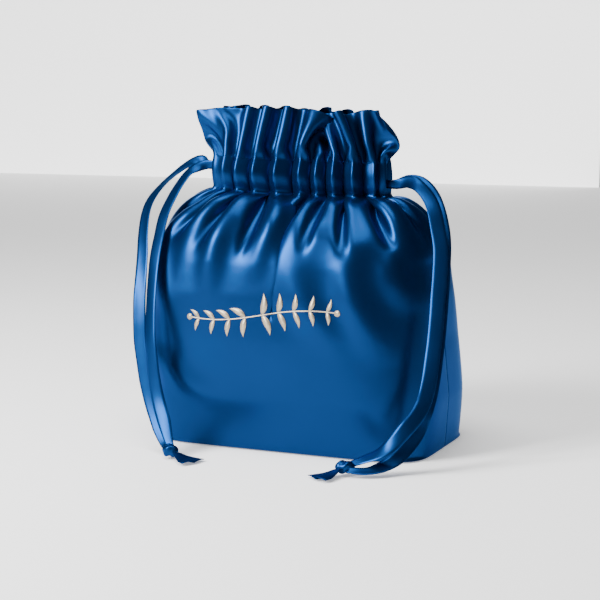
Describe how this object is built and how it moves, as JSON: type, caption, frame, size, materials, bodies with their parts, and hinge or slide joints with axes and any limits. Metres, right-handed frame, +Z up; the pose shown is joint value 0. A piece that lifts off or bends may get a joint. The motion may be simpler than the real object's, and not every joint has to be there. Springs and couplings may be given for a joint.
{
  "type": "drawstring pouch",
  "caption": "Soft satin drawstring pouch with a boxed base, a gathered neck and frill, and flat ribbon drawstrings knotted at each side.",
  "frame": {"origin": "on the surface the pouch stands on, under the middle of its overall width and depth", "axes": "+Z up through the mouth, +X along the pouch's width to the right of its front, +Y from the front panel to the back panel"},
  "size_m": [0.235, 0.1878, 0.235],
  "materials": {
    "satin": "glossy navy-blue satin",
    "ribbon": "navy-blue satin ribbon"
  },
  "bodies": {
    "root": {"front_panel": "satin", "back_panel": "satin", "left_drawstring": "ribbon", "right_drawstring": "ribbon"}
  },
  "joints": []
}
